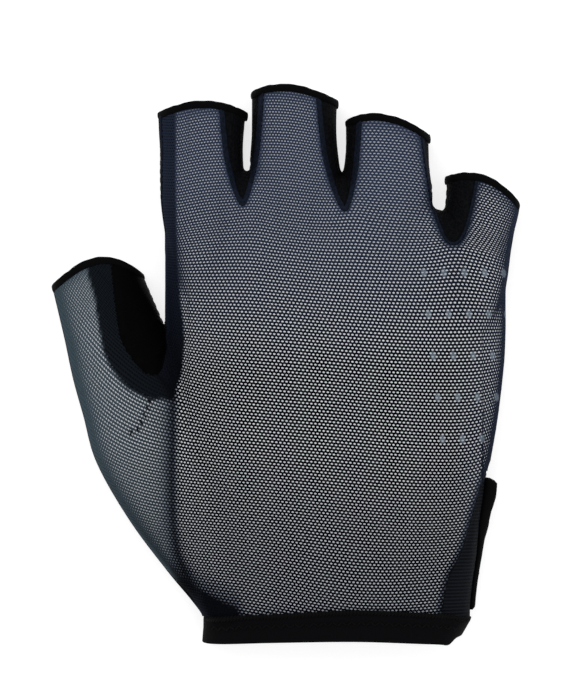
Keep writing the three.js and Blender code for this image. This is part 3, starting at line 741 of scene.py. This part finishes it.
# --- The leather palm and thumb gusset ------------------------------------------------------
# The palm, and the gusset between thumb and index finger, are thin black goat leather, sewn to
# the mesh along the side of the hand. The gusset falls in soft folds towards the crotch.
# Soft black, nearly without gloss, with fine pores and slow folds that show only against the light
leather, tree = material("goat leather, dyed black")
where = add(tree, "ShaderNodeTexCoord").outputs["Object"]
grain = add(tree, "ShaderNodeTexVoronoi", {"Vector": where, "Scale": 1400.0})  # pores 0.7 mm apart
wear = add(tree, "ShaderNodeTexNoise", {"Vector": where, "Scale": 60.0, "Detail": 4.0})
tone = add(tree, "ShaderNodeValToRGB", {"Fac": wear.outputs["Fac"]})
tone.color_ramp.elements[0].color, tone.color_ramp.elements[1].color = colour("#020202"), colour("#050505")
soft = add(tree, "ShaderNodeTexNoise", {"Vector": where, "Scale": 110.0, "Detail": 1.0})
folds = add(tree, "ShaderNodeBump", {"Height": soft.outputs["Fac"], "Strength": 0.35, "Distance": 0.002})
pores = {"Height": grain.outputs["Distance"], "Strength": 0.25, "Distance": 0.0002, "Normal": folds.outputs["Normal"]}
bump = add(tree, "ShaderNodeBump", pores)
finished(tree, {"Base Color": tone.outputs["Color"], "Roughness": 0.5, "Specular IOR Level": 0.01, "Normal": bump.outputs["Normal"]})

palm, palm_faces = cloth(skin, skin_faces, lambda at, z: [seam_height(at) - 0.05 - z, before_rims(at, 0.7), above_hem(at, 2) + 0.8])
# The palm's side of the leather has a coarser grain, worn in soft dull patches
palm_hide, tree = material("goat leather, embossed and rubbed")
where = add(tree, "ShaderNodeTexCoord").outputs["Object"]
grain = add(tree, "ShaderNodeTexVoronoi", {"Vector": where, "Scale": 800.0})  # pebbles 1.3 mm apart
wear = add(tree, "ShaderNodeTexNoise", {"Vector": where, "Scale": 35.0, "Detail": 5.0})
tone = add(tree, "ShaderNodeValToRGB", {"Fac": wear.outputs["Fac"]})
tone.color_ramp.elements[0].color, tone.color_ramp.elements[1].color = colour("#070707"), colour("#111111")
bump = add(tree, "ShaderNodeBump", {"Height": grain.outputs["Distance"], "Strength": 0.5, "Distance": 0.0004})
finished(tree, {"Base Color": tone.outputs["Color"], "Roughness": 0.65, "Specular IOR Level": 0.005, "Normal": bump.outputs["Normal"]})
palm_piece = mesh_object("palm_leather", *walled(palm, palm_faces, 0.0, -1.2), palm_hide)
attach(palm_piece, "root")
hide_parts("palm_panel")

gusset, gusset_faces = cloth(skin, skin_faces, lambda at, z: [
    z - side_seam_height + 0.05, inside(thumb_seam, at) + 0.3, before_rims(at, 0.7)])
fold_lines = [np.array([(-64.0, 90.2), (-58.0, 92.4), (-51.5, 94.8)]), np.array([(-60.5, 80.0), (-55.0, 83.0), (-50.0, 87.2)])]
fold_height = sum(0.5 * np.exp(-((from_line(line, gusset[:, :2]) / 1.2) ** 2)) for line in fold_lines)
fold_height *= ramp(gusset[:, 2], side_seam_height + 3, side_seam_height + 8)
gusset_piece = mesh_object("thumb_gusset_leather", *walled(gusset, gusset_faces, fold_height, -0.9), leather)
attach(gusset_piece, "root")
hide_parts("thumb_gusset")

# --- The walls between the fingers ----------------------------------------------------------
# Each is a strip of black rib knit set in between two finger backs, so that the fingers spread.
# Matt black, with tiny loops that just break up the dark
rib_knit = woven(
    "rib knit, nylon and elastane", "ShaderNodeTexVoronoi", {"Scale": 1300.0},  # loops 0.8 mm apart
    0.8, 0.0004, ("#020203", "#0c0d10"), 0.8)
for name, line in notch_seams.items():
    wall, wall_faces = cloth(skin, skin_faces, lambda at, z: [z - side_seam_height + 0.05, inside(line, at) + 0.3, before_rims(at, 0.7)])
    piece = mesh_object("wall_" + name, *walled(wall, wall_faces, 0.0, -0.8), rib_knit)
    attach(piece, "root")
    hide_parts("fourchette_" + name)

# --- The wrist gore -------------------------------------------------------------------------
# A wedge of fine ribbed elastic lets the wrist stretch where the closure crosses it.
# Charcoal ribs across the wrist, as fine light and dark lines
ribbed = woven(
    "ribbed elastic", "ShaderNodeTexWave", {"Scale": 314.0, "Distortion": 0.2},  # ribs 1 mm apart
    0.7, 0.0004, ("#06070a", "#14171d"), 0.8, bands_direction="Y")
gore, gore_faces = cloth(skin, skin_faces, lambda at, z: [
    z - side_seam_height + 0.05, inside(gore_outline, at) + 0.3, above_hem(at, 2) + 1.2])
gore_piece = mesh_object("wrist_gore_elastic", *walled(gore, gore_faces, 0.0, -0.9), ribbed)
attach(gore_piece, "root")
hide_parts("wrist_gore")

# --- The bindings ---------------------------------------------------------------------------
# Each opening is bound with soft black elastic tape, folded over the raw edge and stitched down.
# Matt black, with a slightly fuzzy surface
tape = woven(
    "binding tape, nylon elastic", "ShaderNodeTexNoise", {"Scale": 900.0, "Detail": 3.0},  # fluff about 1 mm long
    0.5, 0.0003, ("#040405",), 0.85)


def on_rulings(sections, measure, wanted):
    """The points on a form's lengthwise lines where measure first reaches wanted."""
    lines = np.array(sections)
    at = measure(lines.reshape(-1, 3)[:, :2]).reshape(lines.shape[:2])
    found = np.empty((lines.shape[1], 3))
    for k in range(lines.shape[1]):
        i = np.argmax(at[:, k] > wanted)
        t = (wanted - at[i - 1, k]) / (at[i, k] - at[i - 1, k])
        found[k] = lines[i - 1, k] + t * (lines[i, k] - lines[i - 1, k])
    return found


def out_of_ring(ring, along):
    """Directions out of a ring, square to it and to the given ones along the cloth."""
    out = np.cross(along, np.roll(ring, -1, 0) - np.roll(ring, 1, 0))
    out /= np.linalg.norm(out, axis=1)[:, None]
    return -out if (out * (ring - ring.mean(0))).sum() < 0 else out


def ring_faces(count):
    """The faces of a ring whose section has count corners."""
    faces = []
    for r in range(count):
        low, high = r * around, (r + 1) % count * around
        faces += [(low + i, low + (i + 1) % around, high + (i + 1) % around, high + i) for i in range(around)]
    return faces


binding_width = 2.2
fold = [  # the tape's section: how far behind the rim, and how far out of the cloth
    (2.2, -0.1), (2.25, 0.2), (2.0, 0.45), (1.3, 0.6), (0.55, 0.56), (0.1, 0.36), (-0.05, -0.1), (-0.05, -0.9),
    (0.15, -1.4), (0.7, -1.65), (1.6, -1.65), (2.1, -1.45), (2.2, -1.0),
]
corner_flare = {  # the tape stands out where it turns round a side, left and right
    "thumb": (0.1, -0.2), "index": (-0.2, 0.3), "middle": (-0.1, 0.2), "ring": (-0.3, 0.3), "little": (0.2, -0.3),
}
for name in stalls:
    sections = stall_sections(name)
    flat_rim = lambda at: past_rim(name, at, 30.0)
    edge, behind = on_rulings(sections, flat_rim, 0.0), on_rulings(sections, flat_rim, -binding_width)
    inward = (behind - edge) / np.linalg.norm(behind - edge, axis=1)[:, None]
    out = out_of_ring(edge, inward)
    rng = np.random.default_rng(len(name) * 7 + 3)
    turn = 2 * np.pi * np.arange(around) / around
    wave = sum(0.09 * np.sin(k * turn + rng.uniform(0, 6.3)) for k in (5, 9, 14, 23))
    left, right = corner_flare[name]
    flare = np.where(np.cos(turn) < 0, left, right) * np.abs(np.cos(turn)) ** 40
    points = np.concatenate([
        edge + inward * (b * (1 + 0.5 * flare[:, None]) + (0.5 * wave[:, None] - 0.4 * flare[:, None]) * (b < 0.5))
        + out * (o + 0.2 + (0.35 * wave[:, None] + flare[:, None]) * (o > 0)) for b, o in fold])
    points[:, 2] = np.maximum(points[:, 2], 0)
    piece = mesh_object("binding_tape_" + name, points, ring_faces(len(fold)), tape)
    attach(piece, "root")
    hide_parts("binding_" + name)

# --- The cuff -------------------------------------------------------------------------------
# A double hem of black knit, with a rough overlocked edge at its top.
# Matt black, a finer and softer surface than the tape's
cuff_knit = woven(
    "cuff knit, nylon", "ShaderNodeTexNoise", {"Scale": 1200.0, "Detail": 3.0},  # loops about 0.8 mm long
    0.5, 0.0003, ("#060608",), 0.85)
wrist = palm_sections()
low, top = (on_rulings(wrist, lambda at: above_hem(at, column), 0.0) for column in (1, 2))
out = out_of_ring(low, top - low)
hem_section = [  # how far up the hem, and how far out of the cloth
    (-0.02, 0.0), (0.0, 0.4), (0.03, 0.52), (0.2, 0.5), (0.5, 0.45), (0.62, 0.5), (0.72, 0.56), (0.85, 0.6),
    (0.97, 0.5), (1.0, 0.1), (1.0, -0.9), (0.9, -1.6), (0.1, -1.6), (0.0, -1.0),
]
points = np.concatenate([low + (top - low) * s + out * (o + 0.5) for s, o in hem_section])
points[:, 2] = np.maximum(points[:, 2], 0)
# Its ends are pulled in below, and the closure draws the outer one out above
points[:, 0] += np.interp(points[:, 1], [0, 2.2, 4.4, 8, 9.5], [-3.0, -2.2, -0.8, 0.9, 1.2]) * ramp(points[:, 0], 31, 38)
points[:, 0] += np.interp(points[:, 1], [0, 9], [0.2, 0.9]) * ramp(-points[:, 0], 30, 38)
cuff = mesh_object("cuff_hem", points, ring_faces(len(hem_section)), cuff_knit)
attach(cuff, "root")
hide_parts("cuff_band")

# --- The closure tab ------------------------------------------------------------------------
# The closure's end is a strap of black microfibre, wrapped up over the side of the wrist. It is
# thin where it comes from the palm and swells to a rounded, padded grip.
# Deep black, with a fine suede nap
tab_fabric = woven(
    "microfibre, black", "ShaderNodeTexNoise", {"Scale": 700.0, "Detail": 3.0},  # nap in tufts about 1.4 mm wide
    0.4, 0.0002, ("#040405",), 0.8)
tab_thick = lambda y: np.interp(y, [9, 26, 30, 34.5, 39, 43.4, 47.8], [1.5, 1.5, 1.8, 2.6, 2.8, 3.4, 3.2])
tab_top = lambda y: np.interp(y, [9, 20, 33, 40, 47], [7.4, 7.6, 8.0, 8.8, 9.6])


def tab_region(at, z):
    y = at[:, 1]
    end = 4.0 - np.hypot(np.maximum(y - 44.5, 0), np.maximum(np.abs(z - 6.6) - 1.4, 0))
    return [at[:, 0] - 25, tab_top(y) - z, z - 1.5, y - 9.5, end]


flap, flap_faces = cloth(skin, skin_faces, tab_region)
from_edge = np.min(tab_region(flap[:, :2], flap[:, 2])[1:], 0)
swell = 0.35 + tab_thick(flap[:, 1]) * np.sqrt(ramp(from_edge, -0.1, 1.2))
tab = mesh_object("closure_tab_strap", *walled(flap, flap_faces, swell, 0.1), tab_fabric)
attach(tab, "root")
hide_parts("closure_tab")

# --- Thread ---------------------------------------------------------------------------------
# The seams are sewn with black polyester thread. A zigzag holds the hem, a short row of slanting
# stitches closes the dart below the thumb, and plain stitches run along the palm's edge.
# Black and a little brighter than the cloth, so that the stitches show
thread = woven(
    "sewing thread, spun polyester", "ShaderNodeTexWave", {"Scale": 900.0},  # its twist, 0.35 mm a turn
    0.3, 0.0001, ("#0b0b0c",), 0.6, bands_direction="DIAGONAL")

rings = [(-0.5, 0.25), (-0.3, 1.0), (0.3, 1.0), (0.5, 0.25)]  # along one stitch, and how thick
stitch_points = [
    (along, 0.5 * share * math.cos(k * math.pi / 3), 0.5 * share * math.sin(k * math.pi / 3))
    for along, share in rings for k in range(6)]
stitch_faces = [(r * 6 + k, r * 6 + (k + 1) % 6, r * 6 + 6 + (k + 1) % 6, r * 6 + 6 + k) for r in range(3) for k in range(6)]
stitch_faces += [(5, 4, 3, 2, 1, 0), (18, 19, 20, 21, 22, 23)]
stitch = bpy.data.meshes.new("stitch")
stitch.from_pydata(stitch_points, [], [face[::-1] for face in stitch_faces])
stitch_object = bpy.data.objects.new("stitch", stitch)

tree, given, stitch_sockets = node_group("row of stitches", {
    "Seam": "Geometry", "Stitch": "Object", "Pitch": "Float", "Size": "Vector", "Slant": "Float",
    "Slant change": "Float", "Thread": "Material",
}, "Stitches")
path = add(tree, "GeometryNodeMeshToCurve", {0: given["Seam"]})
holes_made = add(tree, "GeometryNodeResampleCurve", {"Curve": path, "Length": given["Pitch"]}, mode="LENGTH")
out_of_cloth = add(tree, "GeometryNodeInputNamedAttribute", {"Name": "out"}, data_type="FLOAT_VECTOR")
along = add(tree, "GeometryNodeInputTangent")
axes = {"Primary Axis": out_of_cloth, "Secondary Axis": along}
laid_along = add(tree, "FunctionNodeAxesToRotation", axes, primary_axis="Z", secondary_axis="X")
number = add(tree, "GeometryNodeInputIndex")
other = add(tree, "ShaderNodeMath", {0: number, 1: 2.0}, operation="FLOORED_MODULO")
slant = add(tree, "ShaderNodeMath", {0: other, 1: given["Slant change"], 2: given["Slant"]}, operation="MULTIPLY_ADD")
turned_by = add(tree, "FunctionNodeAxisAngleToRotation", {"Axis": (0, 0, 1), "Angle": slant})
lying = add(tree, "FunctionNodeRotateRotation", {"Rotation": laid_along, "Rotate By": turned_by}, rotation_space="LOCAL")
one = add(tree, "GeometryNodeObjectInfo", {"Object": given["Stitch"]}).outputs["Geometry"]
placing = {"Points": holes_made, "Instance": one, "Rotation": lying, "Scale": given["Size"]}
sewn = add(tree, "GeometryNodeInstanceOnPoints", placing)
whole = add(tree, "GeometryNodeRealizeInstances", {"Geometry": sewn})
threaded = add(tree, "GeometryNodeSetMaterial", {"Geometry": whole, "Material": given["Thread"]})
add(tree, "NodeGroupOutput", {"Stitches": threaded})


def on_the_cloth(line, height, level):
    """Points of a plan line, lifted onto the skin's upper side, with their outward directions."""
    upper = skin[skin[:, 2] > level]
    found = []
    for spot in line:
        away = np.hypot(*(upper[:, :2] - spot).T)
        near = np.argsort(away)[:8]
        weight = 1 / (away[near] + 0.05)
        found.append((upper[near] * weight[:, None]).sum(0) / weight.sum())
    found = np.array(found)
    out = outward(found)
    return np.c_[line, found[:, 2]] + out * height, out


dart = np.array([(151, 400), (149, 410), (144.6, 418), (140.8, 427), (133.8, 431)]) * (0.295, -0.295) + (-98.97, 189.39)
across = np.linspace(-37, 35, 60)
hem_middle = hem_rows[:, 1] * 0.42 + hem_rows[:, 2] * 0.58
hem_seam = np.stack([across, np.interp(across, hem_rows[:, 0], hem_middle)], 1)
across = np.linspace(-37.5, 38.0, 60)
overlock_line = np.stack([across, np.interp(across, hem_rows[:, 0], hem_rows[:, 2]) - 0.5], 1)
rows_to_sew = [
    ("dart_stitches", "back_panel", "net", on_the_cloth(through(dart, 30), 0.6, 12), 1.9, (1.9, 0.45, 0.35), 0.9, 0.0),
    ("hem_zigzag", "cuff_band", "cuff_knit", on_the_cloth(hem_seam, 1.05, 12), 1.35, (1.75, 0.3, 0.3), 0.7, -1.4),
    ("hem_overlock", "cuff_band", "cuff_knit", on_the_cloth(overlock_line, 1.0, 12), 0.5, (1.9, 0.36, 0.4), 1.15, -0.35),
]
# The palm is top-stitched just below the side seam, all round
edge_at = lambda at: seam_height(at) - 1.3
sewn_down, sewn_faces = cloth(skin, skin_faces, lambda at, z: [
    edge_at(at) - z, before_rims(at, 2.6), above_hem(at, 2) - 0.3,
    5 - ramp(at[:, 0], 36, 38) * ramp(-at[:, 1], -50, -48) * 9])  # none under the closure
edges = open_edges(sewn_faces, len(sewn_down))
off_edge = sewn_down[edges, 2] - edge_at(sewn_down[edges].reshape(-1, 6)).reshape(-1, 2)
edges = edges[(np.abs(off_edge) < 0.02).all(1)]
used, edges = np.unique(edges, return_inverse=True)
out = outward(sewn_down[used])
palm_seam = (sewn_down[used, :3] + out * 0.12, out, edges.reshape(-1, 2))
rows_to_sew.append(("palm_stitches", "palm_panel", "leather", palm_seam, 2.4, (1.7, 0.45, 0.3), 0.0, 0.0))
for name, node, slot, (spots, out, *joined), pitch, size, slant, change in rows_to_sew:
    pairs = joined[0] if joined else np.stack([np.arange(len(spots) - 1), np.arange(1, len(spots))], 1)
    seam = mesh_object(name, spots, [], smooth=False)
    seam.data.edges.add(len(pairs))
    seam.data.edges.foreach_set("vertices", pairs.ravel())
    seam.data.attributes.new("out", "FLOAT_VECTOR", "POINT").data.foreach_set("vector", out.ravel())
    put_through(seam, tree, stitch_sockets, {
        "Stitch": stitch_object, "Pitch": pitch * 0.001, "Size": [c * 0.001 for c in size],
        "Slant": slant, "Slant change": change, "Thread": thread,
    })
    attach(seam, "root")
    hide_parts(node)
bpy.data.objects.remove(stitch_object)

# --- Floor, light and camera ----------------------------------------------------------------
# White paper on a softly lit table, wide lamps above, and a long lens straight over the glove.
# Bright enough to be seen as plain white
paper, tree = material("studio paper")
finished(tree, {
    "Base Color": colour("#b4b4b4"), "Roughness": 0.9, "Specular IOR Level": 0.0,
    "Emission Color": colour("#ffffff"), "Emission Strength": 0.72,
})
floor = bpy.data.meshes.new("floor")
floor.from_pydata([(-3, -3, -0.0002), (3, -3, -0.0002), (3, 3, -0.0002), (-3, 3, -0.0002)], [], [(0, 1, 2, 3)])
floor.materials.append(paper)
floor = bpy.data.objects.new("floor", floor)
bpy.context.scene.collection.objects.link(floor)

world = bpy.data.worlds.new("studio")
world.use_nodes = True
world.node_tree.nodes["Background"].inputs["Color"].default_value = (1, 1, 1, 1)
world.node_tree.nodes["Background"].inputs["Strength"].default_value = 0.62
bpy.context.scene.world = world
for name, spot, size, power in [("key", (-0.35, 0.5, 0.9), 0.8, 4.5), ("fill", (0.6, -0.2, 0.8), 0.9, 2.5)]:
    light = bpy.data.lights.new(name, "AREA")
    light.size, light.energy = size, power
    lamp = bpy.data.objects.new(name, light)
    lamp.location = spot
    lamp.rotation_euler = Vector([-c for c in spot]).to_track_quat("-Z", "Y").to_euler()
    bpy.context.scene.collection.objects.link(lamp)

bpy.context.scene.view_settings.view_transform = "Standard"

lens = bpy.data.cameras.new("camera")
camera = bpy.data.objects.new("camera", lens)
far = 0.9  # from the lens to the widest part of the glove
lens.sensor_fit = "VERTICAL"
lens.angle_y = 2 * math.atan(0.10252 / far)
camera.location = (0.00056, 0.00496, far + 0.008)
bpy.context.scene.collection.objects.link(camera)
bpy.context.scene.camera = camera
